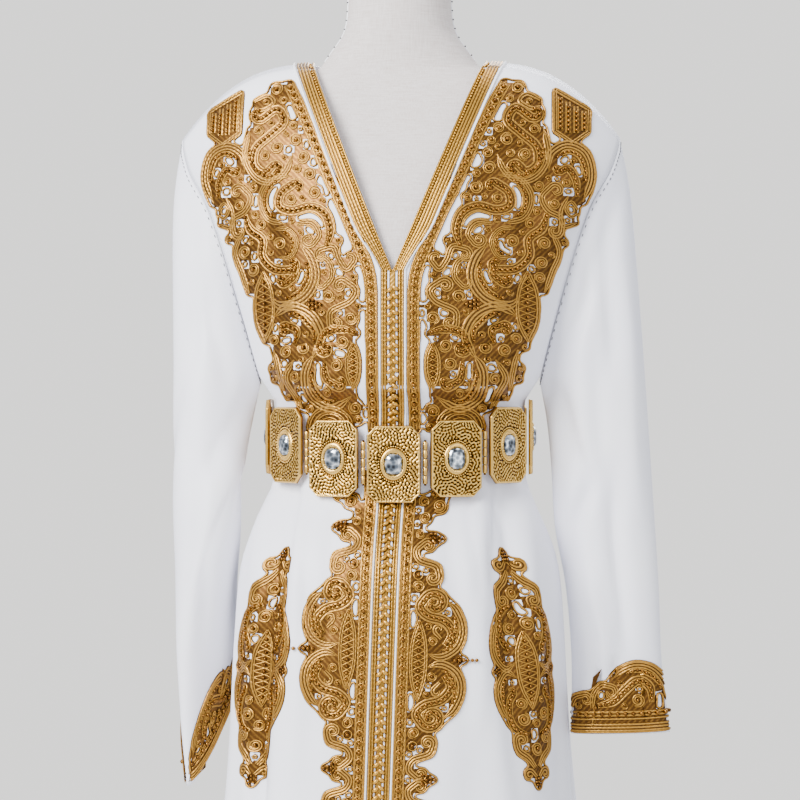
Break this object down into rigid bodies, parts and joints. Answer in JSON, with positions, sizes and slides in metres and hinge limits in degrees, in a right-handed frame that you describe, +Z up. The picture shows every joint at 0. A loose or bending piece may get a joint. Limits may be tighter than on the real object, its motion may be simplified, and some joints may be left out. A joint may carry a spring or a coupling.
{
  "type": "moroccan kaftan on a limbless dress form",
  "caption": "Floor-length white kaftan with gold couched embroidery and a hinged gold plate belt, worn by a linen dress form on a round-based stand.",
  "frame": {"origin": "centre of the round base's flat underside", "axes": "+Z up along the stand's pole, -Y towards the kaftan's front, +X to the right of someone facing the front"},
  "size_m": [0.5343, 0.4231, 1.6103],
  "materials": {
    "white_crepe_satin": "soft satin-faced crepe",
    "gold_braid": "metallic gold thread braid",
    "antique_gold": "cast and lightly antiqued pale gold",
    "cut_crystal": "clear cut crystal over foil",
    "linen": "plain woven grey-beige linen",
    "beech": "turned and satin varnished",
    "lacquered_steel": "white lacquer"
  },
  "bodies": {
    "root": {"front_left": "white_crepe_satin", "front_right": "white_crepe_satin", "back_left": "white_crepe_satin", "back_right": "white_crepe_satin", "sleeve_left": "white_crepe_satin", "sleeve_right": "white_crepe_satin", "neck_braid_left": "gold_braid", "neck_braid_right": "gold_braid", "neck_braid_back": "gold_braid", "centre_closure": "gold_braid", "cuff_braid_left": "gold_braid", "cuff_braid_right": "gold_braid", "belt_plate_01": "antique_gold", "belt_plate_02": "antique_gold", "belt_plate_03": "antique_gold", "belt_plate_04": "antique_gold", "belt_plate_05": "antique_gold", "belt_plate_06": "antique_gold", "belt_plate_07": "antique_gold", "belt_plate_08": "antique_gold", "belt_plate_09": "antique_gold", "belt_plate_10": "antique_gold", "belt_plate_11": "antique_gold", "belt_plate_12": "antique_gold", "belt_hinge_01": "antique_gold", "belt_hinge_02": "antique_gold", "belt_hinge_03": "antique_gold", "belt_hinge_04": "antique_gold", "belt_hinge_05": "antique_gold", "belt_hinge_06": "antique_gold", "belt_hinge_07": "antique_gold", "belt_hinge_08": "antique_gold", "belt_hinge_09": "antique_gold", "belt_hinge_10": "antique_gold", "belt_hinge_11": "antique_gold", "belt_hinge_12": "antique_gold", "belt_stone_01": "cut_crystal", "belt_stone_02": "cut_crystal", "belt_stone_03": "cut_crystal", "belt_stone_04": "cut_crystal", "belt_stone_05": "cut_crystal", "belt_stone_06": "cut_crystal", "belt_stone_07": "cut_crystal", "belt_stone_08": "cut_crystal", "belt_stone_09": "cut_crystal", "belt_stone_10": "cut_crystal", "belt_stone_11": "cut_crystal", "belt_stone_12": "cut_crystal", "form_torso": "linen", "form_neck_cap": "beech", "stand_base": "lacquered_steel", "stand_pole": "lacquered_steel"}
  },
  "joints": []
}
